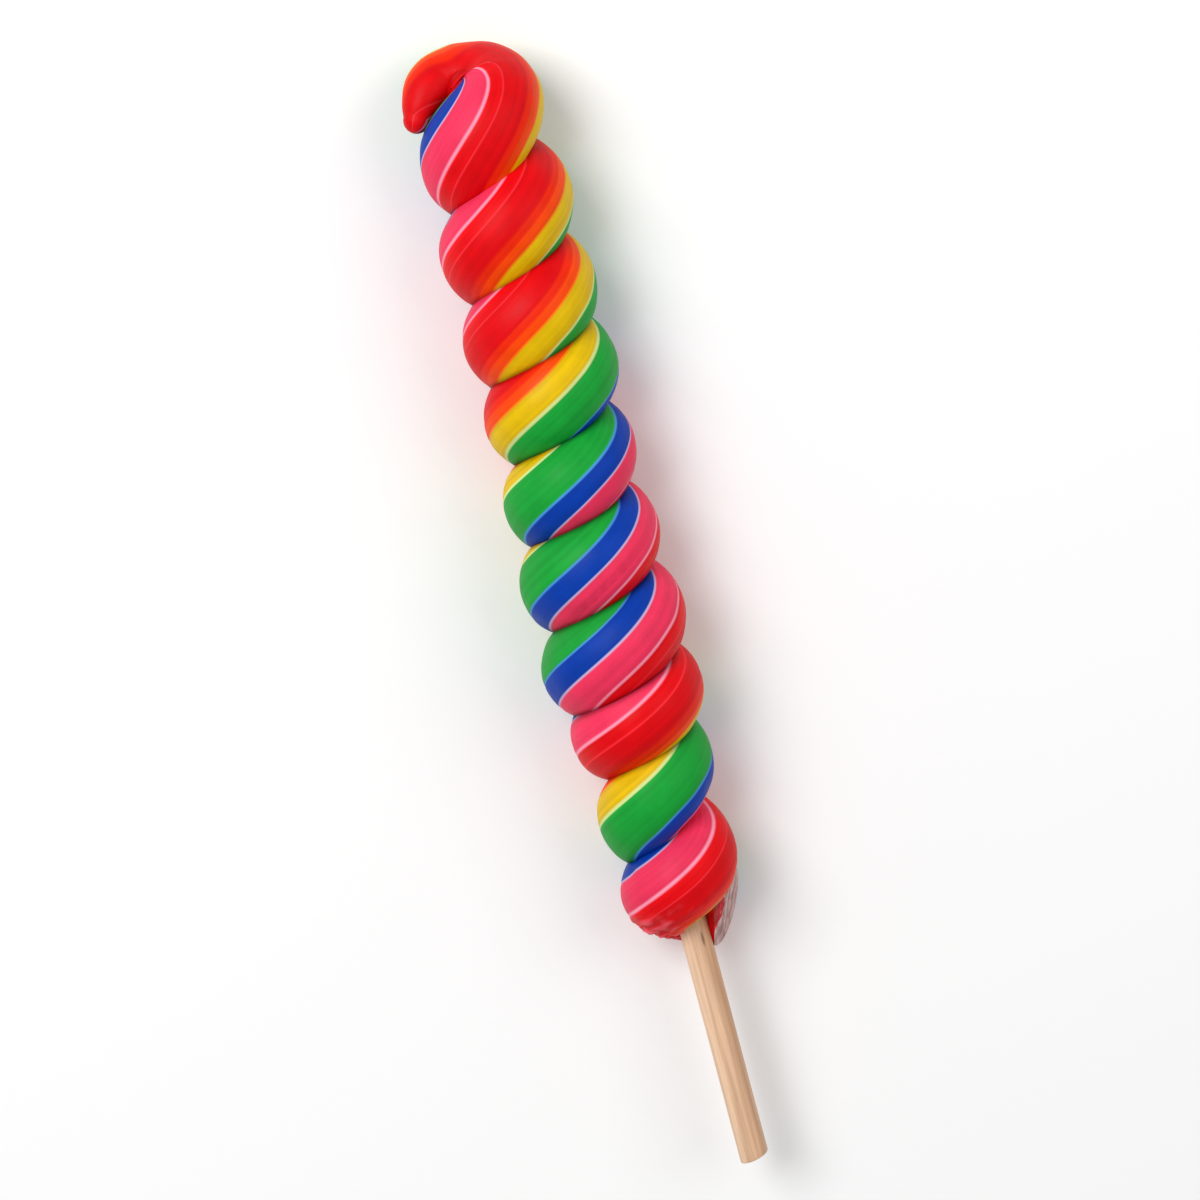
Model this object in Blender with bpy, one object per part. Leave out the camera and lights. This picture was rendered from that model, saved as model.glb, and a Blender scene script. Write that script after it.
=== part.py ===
"""A twist lollipop: one thick rope of hard candy wound in a rising coil, on a round wooden stick.

The lollipop lies along Y with the tip toward +Y and rests on the undersides of its coils.
"""

import bpy
import bmesh
import numpy as np

# All sizes are in millimetres until the meshes are made. Distances "down" run from
# the top of the candy along its axis toward the stick.

# Each turn of the coil at its right side and then at its left side: how far down it
# lies, and how far its outside reaches from the axis. The undersides reach alike, as
# the coils rest on them.
RIGHT_DOWN = (10.9, 27.0, 41.9, 55.5, 69.7, 83.6, 97.5, 110.7, 123.1, 139.2)
LEFT_DOWN = (19.9, 34.9, 49.3, 62.4, 76.4, 90.3, 104.7, 116.7, 131.1, 144.8)
RIGHT_REACH = (10.9, 11.6, 11.7, 11.7, 11.1, 11.4, 12.2, 11.8, 10.4, 10.3)
LEFT_REACH = (11.2, 12.0, 12.0, 11.9, 12.4, 13.3, 13.4, 11.6, 10.8, 10.4)
UNDER_REACH = (11.8, 11.8, 11.8, 11.8, 11.8, 11.8, 11.8, 11.8, 11.1, 10.9)

# Rope radius over the reach of the coil: the rope is a little thicker at its two ends.
ROPE_SHARE = (0.70, 0.65, 0.645, 0.645, 0.70)
SHARE_TURNS = (-0.2, 1.0, 2.0, 8.0, 9.2)

# The tip of the rope rises over the first turn, thins out and hooks down on the left.
# The thick end leaves the coil behind the stick and is cut off square at the right.
# Each row is across, down, out and rope radius.
HOOK = (
    (2.3, 8.6, -2.5, 6.9),
    (0.1, 7.3, -3.5, 6.1),
    (-2.5, 6.5, -3.7, 5.4),
    (-5.2, 6.5, -2.9, 4.6),
    (-7.2, 7.6, -1.4, 3.9),
    (-8.7, 9.3, -0.2, 3.1),
    (-9.7, 11.0, 0.6, 2.2),
)
HOOK_TURNS = (-0.39, -0.50, -0.60, -0.69, -0.76, -0.82, -0.875)
TAIL = (
    (-0.3, 147.2, -3.9, 7.2),
    (2.8, 148.8, -3.6, 7.0),
    (6.0, 150.2, -2.3, 6.8),
)
TAIL_TURNS = (9.50, 9.59, 9.68)

STEPS_PER_TURN = 28  # whole number, so that sections of neighbouring turns line up
HALF_TURN = STEPS_PER_TURN // 2
ROUND_POINTS = 15
INNER_RADIUS = 1.0  # the rope's section stops this far from the axis
CORE_RADIUS = 4.0
CORE_DOWN = (7.5, 145.0)
REST_TRIM = 0.35  # depth of the small flats the coils rest on

STICK_RADIUS = 2.5
STICK_DOWN = (111.0, 192.8)
STICK_END_SLOPE = 0.2  # the free end is sawn a little aslant
STICK_SIDES = 40
GAP = 0.3

MM = 0.001


def clear_scene():
    for obj in list(bpy.data.objects):
        bpy.data.objects.remove(obj, do_unlink=True)


def smooth(knots, values, at):
    """Cubic curve through the values, with each slope taken from the two neighbours."""
    knots = np.asarray(knots, float)
    values = np.asarray(values, float)
    slopes = np.gradient(values, knots)
    i = np.clip(np.searchsorted(knots, at) - 1, 0, len(knots) - 2)
    span = knots[i + 1] - knots[i]
    f = np.clip((at - knots[i]) / span, 0.0, 1.0)
    a = values[i] * (1 + 2 * f) * (1 - f) ** 2
    b = slopes[i] * span * f * (1 - f) ** 2
    c = values[i + 1] * f * f * (3 - 2 * f)
    d = slopes[i + 1] * span * f * f * (f - 1)
    return a + b + c + d


def coil_centre(turn):
    """Centre of the rope and its radius: (across, down, out, radius) on the coil."""
    depths = []
    reaches = []
    for k, under in enumerate(UNDER_REACH):
        depths += [(k - 0.25, RIGHT_DOWN[k]), (k + 0.25, LEFT_DOWN[k])]
        reaches += [(k - 0.25, RIGHT_REACH[k]), (k + 0.25, LEFT_REACH[k])]
        reaches.append((k + 0.5, under))
    outside = smooth(*zip(*reaches), turn)
    radius = smooth(SHARE_TURNS, ROPE_SHARE, turn) * outside
    arm = outside - radius
    angle = -2 * np.pi * turn
    return np.array(
        [arm * np.sin(angle), smooth(*zip(*depths), turn), arm * np.cos(angle), radius]
    )


def free_end(knots, rows, turn):
    """Centre and radius beyond the coil, on a smooth curve through the rows."""
    order = np.argsort(knots)
    knots = np.array(knots)[order]
    rows = np.array(rows)[order]
    return np.array([smooth(knots, rows[:, k], turn) for k in range(4)])


def rope_centres(turns):
    """Rows of (across, down, out, radius) over the hook, the coil and the tail."""
    hook_lead = (0.0, -0.12, -0.25)
    tail_lead = (9.0, 9.15, 9.3)
    hook_rows = [coil_centre(turn) for turn in hook_lead] + list(HOOK)
    tail_rows = [coil_centre(turn) for turn in tail_lead] + list(TAIL)
    found = []
    for turn in turns:
        if turn < hook_lead[1]:
            found.append(free_end(hook_lead + HOOK_TURNS, hook_rows, turn))
        elif turn > tail_lead[1]:
            found.append(free_end(tail_lead + TAIL_TURNS, tail_rows, turn))
        else:
            found.append(coil_centre(turn))
    return np.array(found)


def unit(rows):
    return rows / np.linalg.norm(rows, axis=-1, keepdims=True)


def ring(centre, out, up, radius, half_angle):
    angles = np.linspace(-half_angle, half_angle, ROUND_POINTS)
    return [centre + radius * (np.cos(a) * out + np.sin(a) * up) for a in angles]


def rope_rings():
    """Closed sections of the rope from the hooked tip down to the cut end."""
    first = round(HOOK_TURNS[-1] * STEPS_PER_TURN)
    last = round(TAIL_TURNS[-1] * STEPS_PER_TURN)
    turns = np.arange(first, last + 1) / STEPS_PER_TURN
    rows = rope_centres(turns)
    centres = np.stack([rows[:, 0], -rows[:, 1], rows[:, 2]], axis=1)
    radii = rows[:, 3]
    along = unit(np.gradient(centres, axis=0))
    axial = np.array([0.0, 1.0, 0.0])
    rings = []
    for i, turn in enumerate(turns):
        arm = centres[i] * np.array([1.0, 0.0, 1.0])
        out = unit(arm)
        square_out = unit(out - along[i] * np.dot(out, along[i]))
        square_up = np.cross(square_out, along[i])
        square_up = square_up * np.sign(square_up[1])
        steep = axial / max(square_up[1], 0.6)
        # Sections on the coil hold the axis. On the hook and at the cut they are square.
        hook = np.clip((0.1 - turn) / 0.4, 0.0, 1.0)
        cut = np.clip((turn - 9.35) / 0.25, 0.0, 1.0)
        square = max(hook, cut)
        out = unit(out * (1 - square) + square_out * square)
        up = steep * (1 - square) + square_up * square
        reach_in = (np.linalg.norm(arm) - INNER_RADIUS) / radii[i]
        half_angle = np.arccos(-np.clip(reach_in + 0.6 * hook, 0.0, 0.97))
        rings.append(ring(centres[i], out, up, radii[i], half_angle))
        if i == 0:
            for lift in (0.5, 0.8, 0.96):
                small = radii[0] * np.sqrt(1 - lift**2)
                tip = centres[0] - along[0] * radii[0] * lift
                rings.insert(0, ring(tip, square_out, square_up, small, half_angle))
    return np.array(rings)


def add_object(name, points, faces):
    """A closed mesh object in metres, its faces turned outward."""
    mesh = bpy.data.meshes.new(name)
    mesh.from_pydata([tuple(p) for p in np.asarray(points) * MM], [], faces)
    made = bmesh.new()
    made.from_mesh(mesh)
    bmesh.ops.recalc_face_normals(made, faces=made.faces)
    made.to_mesh(mesh)
    made.free()
    obj = bpy.data.objects.new(name, mesh)
    bpy.context.scene.collection.objects.link(obj)
    return obj


def add_rings(name, rings):
    """Skin over rows of sections, with both ends closed."""
    count, width = rings.shape[:2]
    faces = []
    for i in range(count - 1):
        for j in range(width):
            k = (j + 1) % width
            a = i * width
            b = a + width
            faces.append((a + j, a + k, b + k, b + j))
    faces.append(tuple(range(width)))
    faces.append(tuple(range((count - 1) * width, count * width)))
    return add_object(name, rings.reshape(-1, 3), faces)


def add_rod(name, radius, down, slope=0.0, sides=STICK_SIDES, dome=0.0):
    """Round rod on the axis between two depths, with an optional domed top."""
    angles = np.arange(sides) * 2 * np.pi / sides
    across = radius * np.sin(angles)
    out = radius * np.cos(angles)
    levels = [(1.0, down[1], slope), (1.0, down[0], 0.0)]
    if dome:
        levels += [(0.8, down[0] - 0.6 * dome, 0.0), (0.4, down[0] - 0.92 * dome, 0.0)]
    rings = []
    for share, depth, lean in levels:
        rings.append(np.stack([share * across, lean * across - depth, share * out], 1))
    return add_rings(name, np.array(rings))


def boolean(target, operation, other):
    """Applied union or difference, after which the helper is removed."""
    step = target.modifiers.new(operation, "BOOLEAN")
    step.operation = operation
    step.solver = "MANIFOLD"
    step.object = other
    graph = bpy.context.evaluated_depsgraph_get()
    result = bpy.data.meshes.new_from_object(target.evaluated_get(graph))
    target.modifiers.clear()
    target.data = result
    bpy.data.objects.remove(other, do_unlink=True)


def keep_outer_skin(obj):
    """Drops the closed pockets left between the turns, deep in the crease."""
    made = bmesh.new()
    made.from_mesh(obj.data)
    islands = []
    left = set(made.faces)
    while left:
        island = set()
        edge_of = [left.pop()]
        while edge_of:
            face = edge_of.pop()
            island.add(face)
            for edge in face.edges:
                for other in edge.link_faces:
                    if other in left:
                        left.remove(other)
                        edge_of.append(other)
        islands.append(island)
    islands.sort(key=len)
    for island in islands[:-1]:
        bmesh.ops.delete(made, geom=list(island), context="FACES")
    made.to_mesh(obj.data)
    made.free()


def add_block(name, low, high):
    corners = [(x, y, z) for x in (0, 1) for y in (0, 1) for z in (0, 1)]
    span = np.array(high) - np.array(low)
    points = np.array(low) + np.array(corners) * span
    faces = [
        (0, 1, 3, 2),
        (4, 6, 7, 5),
        (0, 4, 5, 1),
        (2, 3, 7, 6),
        (0, 2, 6, 4),
        (1, 5, 7, 3),
    ]
    return add_object(name, points, faces)


def bounds(objects):
    points = np.array([v.co[:] for obj in objects for v in obj.data.vertices])
    return points.min(axis=0), points.max(axis=0)


def set_material(obj, name, colour, roughness):
    material = bpy.data.materials.new(name)
    material.use_nodes = True
    shader = material.node_tree.nodes["Principled BSDF"]
    shader.inputs["Base Color"].default_value = (*colour, 1.0)
    shader.inputs["Roughness"].default_value = roughness
    shader.inputs["Metallic"].default_value = 0.0
    obj.data.materials.clear()
    obj.data.materials.append(material)


def build():
    clear_scene()
    candy = add_rod("candy", CORE_RADIUS, CORE_DOWN, sides=20, dome=3.0)
    rings = rope_rings()
    for start in range(0, len(rings) - 1, HALF_TURN):
        length = add_rings("length", rings[start : start + HALF_TURN + 2])
        boolean(candy, "UNION", length)
    keep_outer_skin(candy)

    pocket = add_rod("pocket", STICK_RADIUS + GAP, (STICK_DOWN[0] - GAP, 175.0))
    boolean(candy, "DIFFERENCE", pocket)

    low, high = bounds([candy])
    floor = low[2] / MM + REST_TRIM
    trim = add_block("trim", (-30, -220, floor - 20), (30, 20, floor))
    boolean(candy, "DIFFERENCE", trim)

    stick = add_rod("stick", STICK_RADIUS, STICK_DOWN, slope=STICK_END_SLOPE)

    low, high = bounds([candy, stick])
    shift = (-(low[0] + high[0]) / 2, -(low[1] + high[1]) / 2, -low[2])
    for obj in (candy, stick):
        for vertex in obj.data.vertices:
            vertex.co = [vertex.co[k] + shift[k] for k in range(3)]
        for face in obj.data.polygons:
            face.use_smooth = True

    set_material(candy, "Hard candy", (0.78, 0.02, 0.03), 0.35)
    set_material(stick, "Birch wood", (0.58, 0.35, 0.2), 0.7)


build()
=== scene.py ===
# %% [markdown]
# # A twist lollipop
# A thick rope of boiled sugar, striped in six colours, is wound in a tall coil on a
# round wooden stick. The lollipop lies on its back, with its tip toward +Y. The packed
# model gives the place and size of both parts; this lesson makes their final shapes
# and finishes.

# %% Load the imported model
import math

import bpy
import numpy as np
from mathutils import Matrix, Vector, noise


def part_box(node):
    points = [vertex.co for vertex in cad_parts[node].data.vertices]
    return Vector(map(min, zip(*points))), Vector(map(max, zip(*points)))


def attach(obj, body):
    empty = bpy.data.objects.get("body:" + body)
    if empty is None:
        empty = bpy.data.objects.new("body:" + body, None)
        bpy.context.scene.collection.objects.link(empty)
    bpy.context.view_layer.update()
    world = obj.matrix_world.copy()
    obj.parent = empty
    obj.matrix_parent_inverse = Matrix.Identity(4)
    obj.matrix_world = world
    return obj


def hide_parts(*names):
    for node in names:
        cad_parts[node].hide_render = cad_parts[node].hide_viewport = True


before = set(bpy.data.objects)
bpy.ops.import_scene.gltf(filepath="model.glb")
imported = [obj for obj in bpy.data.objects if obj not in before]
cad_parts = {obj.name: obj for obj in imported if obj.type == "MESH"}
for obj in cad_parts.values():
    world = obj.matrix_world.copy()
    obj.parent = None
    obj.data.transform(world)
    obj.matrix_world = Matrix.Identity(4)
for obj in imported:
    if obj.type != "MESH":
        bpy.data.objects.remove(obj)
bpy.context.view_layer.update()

MM = 0.001

# %% [markdown]
# ## Where the coil lies
# The stick is straight, so the middle of its box gives the axis of the coil, and its
# free end gives a place to measure the turns from. All the sizes of the rope are in
# millimetres down from the top of the candy, as a sweet maker would measure them.

# %% The coil's axis
STICK_END_DOWN = 192.8
STICK_END_LEAN = 0.5
stick_low, stick_high = (np.array(corner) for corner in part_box("stick"))
stick_radius = (stick_high[0] - stick_low[0]) / 2
axis_x = (stick_low[0] + stick_high[0]) / 2
axis_z = (stick_low[2] + stick_high[2]) / 2
top_y = stick_low[1] + (STICK_END_DOWN + STICK_END_LEAN) * MM
print("axis at x, z:", axis_x, axis_z, "top at y:", top_y)

# %% [markdown]
# ## The sizes of the rope
# Hand winding leaves every turn a little different. Each turn has its own place and
# reach at the right and at the left, and the undersides reach alike because the
# candy lies on them. The thin end hooks over the first turn, and the thick end is cut
# off square behind the stick. Places along the rope are counted in turns.

# %% Turns, hook and tail
RIGHT_DOWN = (10.9, 27.0, 41.9, 55.5, 69.7, 83.6, 97.5, 110.7, 123.1, 139.2)
LEFT_DOWN = (19.9, 34.9, 49.3, 62.4, 76.4, 90.3, 104.7, 116.7, 131.1, 144.8)
RIGHT_REACH = (10.9, 11.6, 11.7, 11.7, 11.1, 11.4, 12.2, 11.8, 10.4, 10.3)
LEFT_REACH = (11.2, 12.0, 12.0, 11.9, 12.4, 13.3, 13.4, 11.6, 10.8, 10.4)
UNDER_REACH = (11.8, 11.8, 11.8, 11.8, 11.8, 11.8, 11.8, 11.8, 11.1, 10.9)

# The rope's radius as a share of the turn's reach.
ROPE_SHARE = (0.70, 0.65, 0.645, 0.645, 0.70)
SHARE_TURNS = (-0.2, 1.0, 2.0, 8.0, 9.2)

# Each row is across, down, out and rope radius.
HOOK = (
    (2.3, 8.6, -2.5, 6.9),
    (0.1, 7.3, -3.5, 6.1),
    (-2.5, 6.5, -3.7, 5.4),
    (-5.2, 6.5, -2.9, 4.6),
    (-7.2, 7.6, -1.4, 3.9),
    (-8.7, 9.3, -0.2, 3.1),
    (-9.7, 11.0, 0.6, 2.2),
)
HOOK_TURNS = (-0.39, -0.50, -0.60, -0.69, -0.76, -0.82, -0.875)
TAIL = (
    (-0.3, 147.2, -3.9, 7.2),
    (2.8, 148.8, -3.6, 7.0),
    (6.0, 150.2, -2.3, 6.8),
)
TAIL_TURNS = (9.50, 9.59, 9.68)
HOOK_LEAD = (0.0, -0.12, -0.25)
TAIL_LEAD = (9.0, 9.15, 9.3)
print("turns of rope:", TAIL_TURNS[-1] - HOOK_TURNS[-1])

# %% [markdown]
# ## Smooth curves through a few sizes
# A cubic curve with slopes taken from its neighbours passes through every size and
# never has a corner. The whole coil is worked out from it, for any number of turns.

# %% A smooth curve through values
def smooth(knots, values, at):
    """The value at a place, on a smooth curve through the values at the knots."""
    knots = np.asarray(knots, float)
    values = np.asarray(values, float)
    slopes = np.gradient(values, knots)
    i = np.clip(np.searchsorted(knots, at) - 1, 0, len(knots) - 2)
    span = knots[i + 1] - knots[i]
    f = np.clip((at - knots[i]) / span, 0.0, 1.0)
    rise = values[i] * (1 + 2 * f) * (1 - f) ** 2
    rise = rise + values[i + 1] * f * f * (3 - 2 * f)
    bend = slopes[i] * span * f * (1 - f) ** 2
    return rise + bend + slopes[i + 1] * span * f * f * (f - 1)


print("halfway between 10 and 12:", smooth((0, 1), (10, 12), 0.5))

# %% The middle of the rope
COIL_DEPTHS = []
COIL_REACHES = []
for k, under in enumerate(UNDER_REACH):
    COIL_DEPTHS += [(k - 0.25, RIGHT_DOWN[k]), (k + 0.25, LEFT_DOWN[k])]
    COIL_REACHES += [(k - 0.25, RIGHT_REACH[k]), (k + 0.25, LEFT_REACH[k])]
    COIL_REACHES.append((k + 0.5, under))


def coil_row(turn):
    """(across, down, out, radius) of the rope on the coil."""
    reach = smooth(*zip(*COIL_REACHES), turn)
    radius = smooth(SHARE_TURNS, ROPE_SHARE, turn) * reach
    arm = reach - radius
    angle = -2 * math.pi * turn
    down = smooth(*zip(*COIL_DEPTHS), turn)
    return np.array([arm * math.sin(angle), down, arm * math.cos(angle), radius])


def end_row(knots, rows, turn):
    """(across, down, out, radius) of the rope on the hook or the tail."""
    order = np.argsort(knots)
    knots = np.array(knots)[order]
    rows = np.array(rows)[order]
    return np.array([smooth(knots, rows[:, k], turn) for k in range(4)])


HOOK_ROWS = [coil_row(turn) for turn in HOOK_LEAD] + list(HOOK)
TAIL_ROWS = [coil_row(turn) for turn in TAIL_LEAD] + list(TAIL)


def rope_row(turn):
    """(across, down, out, radius) of the rope anywhere along it."""
    if turn < HOOK_LEAD[1]:
        return end_row(HOOK_LEAD + HOOK_TURNS, HOOK_ROWS, turn)
    if turn > TAIL_LEAD[1]:
        return end_row(TAIL_LEAD + TAIL_TURNS, TAIL_ROWS, turn)
    return coil_row(turn)


print("rope radius at the middle turns:", rope_row(5.0)[3], "mm")

# %% [markdown]
# ## Twist
# Before it was wound, the striped rope was twisted, so the stripes climb across each
# turn more steeply than the turn itself. The list holds how many degrees the rope has
# turned about its own middle, at a few places on the hook and then once in each turn.

# %% How the rope is twisted
TWIST_TURNS = (-0.875, -0.8, -0.66, -0.46, -0.25) + tuple(range(10)) + (10,)
TWIST = (-85, -115, -216, -200, -141, -33, 285, 621, 914, 1180, 1504, 1843, 2128)
TWIST += (2308, 2501, 2706)
# How far the strips are stretched over the outer side of the bend, above and below.
STRETCH_TURNS = (-1.0, 7.0, 8.2, 9.0, 10.0)
UPPER_STRETCH = (0.45, 0.45, 0.36, 0.28, 0.28)
LOWER_STRETCH = (0.45, 0.45, 0.36, 0.45, 0.45)


def stripe_place(turn, angle):
    """Place round the striped rope, as a share of its six colours."""
    twist = math.radians(smooth(TWIST_TURNS, TWIST, turn))
    stretches = UPPER_STRETCH if angle > 0 else LOWER_STRETCH
    stretch = smooth(STRETCH_TURNS, stretches, turn)
    return -(angle + stretch * math.sin(angle) + twist) / (2 * math.pi)


print("stripes turn", TWIST[-2] / 360, "times along the coil")

# %% [markdown]
# ## Winding one length of rope
# The rope could be one long tube, but it would run through itself near the axis. It is
# made from half-turn lengths instead. Each starts as a straight cylinder, cut into
# rings, and is then wound to its place in the coil. A map keeps each point's place
# along and round the rope, so that the stripes can follow the winding later.

# %% A straight cylinder, cut into rings
RINGS_PER_TURN = 112
HALF_TURN = RINGS_PER_TURN // 2
SIDES = 80
FIRST_RING = round(HOOK_TURNS[-1] * RINGS_PER_TURN)
LAST_RING = round(TAIL_TURNS[-1] * RINGS_PER_TURN)


def straight_length(name, rings):
    """A closed cylinder along Z from 0 to rings, with a ring of points at each unit."""
    bpy.ops.object.select_all(action="DESELECT")
    bpy.ops.mesh.primitive_cylinder_add(
        vertices=SIDES, radius=1.0, depth=rings, location=(0, 0, rings / 2)
    )
    length = bpy.context.object
    length.name = name
    bpy.ops.object.transform_apply(location=True)
    bpy.ops.object.mode_set(mode="EDIT")
    bpy.ops.mesh.select_all(action="DESELECT")
    bpy.ops.object.mode_set(mode="OBJECT")
    corners = length.data.vertices
    for edge in length.data.edges:
        a, b = edge.vertices
        edge.select = abs(corners[a].co.z - corners[b].co.z) > rings / 2
    bpy.ops.object.mode_set(mode="EDIT")
    bpy.ops.mesh.select_mode(type="EDGE")
    bpy.ops.mesh.subdivide(number_cuts=rings - 1)
    bpy.ops.object.mode_set(mode="OBJECT")
    return length


trial = straight_length("trial", 6)
print("trial length:", len(trial.data.vertices), "points")
bpy.data.objects.remove(trial)

# %% Rings of the rope in space
def unit(rows):
    """Each row made one unit long."""
    return rows / np.linalg.norm(rows, axis=-1, keepdims=True)


turns = np.arange(FIRST_RING, LAST_RING + 1) / RINGS_PER_TURN
rows = np.array([rope_row(turn) for turn in turns])
middles = np.stack([rows[:, 0], -rows[:, 1], rows[:, 2]], axis=1)
radii = rows[:, 3]
along = unit(np.gradient(middles, axis=0))
length_along = np.cumsum(np.linalg.norm(np.gradient(middles, axis=0), axis=1))
print("length of the rope:", round(length_along[-1]), "mm")

# %% [markdown]
# ## Directions round each ring
# On the coil, a ring keeps its own up along the stick, which lets neighbouring turns
# lie flat against each other. At the hook and at the cut end, the rings stand square
# to the rope. No ring passes the axis, so one half turn never runs through itself.

# %% Out, up and the part of the circle that each ring covers
HOOK_SQUARE, HOOK_SQUARE_FADE = 0.1, 0.4
CUT_SQUARE, CUT_SQUARE_FADE = 9.35, 0.25
LEAST_UPRIGHT = 0.6
INNER_RADIUS = 1.0
HOOK_OPENING = 0.6
MOST_CLOSED = 0.97

hook_share = np.clip((HOOK_SQUARE - turns) / HOOK_SQUARE_FADE, 0.0, 1.0)
cut_share = np.clip((turns - CUT_SQUARE) / CUT_SQUARE_FADE, 0.0, 1.0)
square = np.maximum(hook_share, cut_share)[:, None]
arms = middles * (1.0, 0.0, 1.0)
out = unit(arms)
square_out = unit(out - along * np.sum(out * along, axis=1, keepdims=True))
square_up = np.cross(square_out, along)
square_up *= np.sign(square_up[:, 1:2])
steep_up = np.array([[0.0, 1.0, 0.0]]) / np.maximum(square_up[:, 1:2], LEAST_UPRIGHT)
ring_out = unit(out * (1 - square) + square_out * square)
ring_up = steep_up * (1 - square) + square_up * square
reach_in = (np.linalg.norm(arms, axis=1) - INNER_RADIUS) / radii
reach_in = np.clip(reach_in + HOOK_OPENING * hook_share, 0.0, MOST_CLOSED)
half_angles = np.arccos(-reach_in)
print("rings:", len(turns), "smallest half angle:", math.degrees(half_angles.min()))

# %% [markdown]
# ## Colours round the hook
# The hook bends sharply the other way, so its strips sit differently: red is drawn out
# over nearly all of the side that faces up, and orange runs along the outer rim. Round
# the hook, places are measured from the side that faces up.

# %% Places round the hook
HOOK_FACE = (20.0, 50.0, 62.0, 38.0)  # degrees round the strips at the side facing up
HOOK_FACE_TURNS = (-0.88, -0.79, -0.66, -0.45)
HOOK_STRETCH = 0.55
HOOK_BLEND = (-0.27, -0.47)
ROOT_PLACE = 0.14  # red, drawn over the root of the hook
ROOT_TURN, ROOT_FADE = -0.02, 0.1
ROOT_ANGLE, ROOT_SPREAD = math.radians(96), math.radians(24)
facing = unit(np.array([0.0, 0.0, 1.0]) - along * along[:, 2:])
rim = np.cross(facing, along)


def hook_places(i, ways, places):
    """The coil's places, changed over to the hook's own as the rope leaves the coil."""
    start, end = HOOK_BLEND
    share = np.clip((turns[i] - start) / (end - start), 0.0, 1.0)
    share = share * share * (3 - 2 * share)
    angles = np.unwrap(np.arctan2(ways @ rim[i], ways @ facing[i]))
    own = np.degrees(angles - HOOK_STRETCH * np.sin(angles))
    own = (own + smooth(HOOK_FACE_TURNS, HOOK_FACE, turns[i])) / 360
    own += np.round(np.mean(places - own))
    return places * (1 - share) + own * share


def root_places(turn, angles, places):
    """Red covers the rope's inner side where the hook leaves the first turn."""
    share = np.clip((angles - ROOT_ANGLE) / ROOT_SPREAD, 0.0, 1.0)
    share = share * np.clip((ROOT_TURN - turn) / ROOT_FADE, 0.0, 1.0)
    return places * (1 - share) + ROOT_PLACE * share


print("rings on the hook:", int((turns < HOOK_BLEND[1]).sum()))

# %% [markdown]
# ## An uneven, hand-made surface
# Each colour was a strip of soft sugar, and the strips meet in shallow grooves. Hands
# also leave soft dents, and where the end was pinched round the stick there are folds.
# These are deep enough to catch the light, so they are shaped and not only painted.

# %% Grooves, dents and folds
BOUNDS = (0.0, 84.0, 119.0, 167.0, 254.0, 299.0)  # degrees round the rope
GROOVE_DEPTH = 0.06
GROOVE_WIDTH = 4.0
DENT_HEIGHT = 0.16
DENT_SIZE = 5.0
FOLD_HEIGHT = 0.75
FOLD_TURN, FOLD_SPREAD = 9.2, 0.16
FOLD_SLOPE, FOLD_START = 2.2, 0.5
# How strongly the fold ridges get a painted highlight, a paler tint where light would catch
# them.
FOLD_HIGHLIGHT_STRENGTH = 2.2
CRACK_DEPTH = 0.3
CRACK_TURN, CRACK_SPREAD = 5.0, 0.1
CRACKS = (326.0, 335.0)
CRACK_WIDTH = 1.6


def folds(turn, angle):
    """How high the folds beside the stick stand, from about -1 to 1."""
    near = math.exp(-(((turn - FOLD_TURN) / FOLD_SPREAD) ** 2))
    under = min(1.0, max(0.0, -FOLD_SLOPE * math.sin(angle) - FOLD_START))
    crumple = noise.noise(Vector((turn * 17, angle * 6, 3.0)))  # broad folds
    crumple += 0.6 * noise.noise(Vector((turn * 36, angle * 14, 8.0)))  # fine ones
    return near * under * crumple


def relief(turn, angle, place, point):
    """Millimetres that the surface stands above the plain round rope."""
    round_rope = (place % 1.0) * 360
    height = 0.0
    for bound in BOUNDS:
        apart = (round_rope - bound + 180) % 360 - 180
        height -= GROOVE_DEPTH * math.exp(-((apart / GROOVE_WIDTH) ** 2))
    height += DENT_HEIGHT * noise.noise(Vector(point) / DENT_SIZE)
    height += FOLD_HEIGHT * folds(turn, angle)
    near = math.exp(-(((turn - CRACK_TURN) / CRACK_SPREAD) ** 4))
    for crack in CRACKS:
        apart = (round_rope - crack) / CRACK_WIDTH
        height -= CRACK_DEPTH * near * math.exp(-(apart**2))
    return height


print("deepest groove or crack:", max(GROOVE_DEPTH, CRACK_DEPTH), "mm")

# %% All the points of the rope
steps = np.linspace(-1.0, 1.0, SIDES)
rope_points = np.zeros((len(turns), SIDES, 3))
rope_places = np.zeros((len(turns), SIDES))
rope_fold_highlights = np.zeros((len(turns), SIDES))
for i, turn in enumerate(turns):
    angles = steps * half_angles[i]
    rope_places[i] = [stripe_place(turn, angle) for angle in angles]
    ways = np.cos(angles)[:, None] * ring_out[i] + np.sin(angles)[:, None] * ring_up[i]
    if turn < HOOK_BLEND[0]:
        rope_places[i] = hook_places(i, ways, rope_places[i])
    if HOOK_BLEND[1] < turn < ROOT_TURN:
        rope_places[i] = root_places(turn, angles, rope_places[i])
    for j in range(SIDES):
        point = middles[i] + radii[i] * ways[j]
        lift = relief(turn, angles[j], rope_places[i, j], point)
        rope_points[i, j] = point + lift * ways[j]
        # Painted highlight: how strongly this point of a fold ridge is tinted paler.
        rope_fold_highlights[i, j] = min(1.0, max(0.0, FOLD_HIGHLIGHT_STRENGTH * folds(turn, angles[j])))
print("points on the rope:", rope_points.shape[0] * SIDES)
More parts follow.
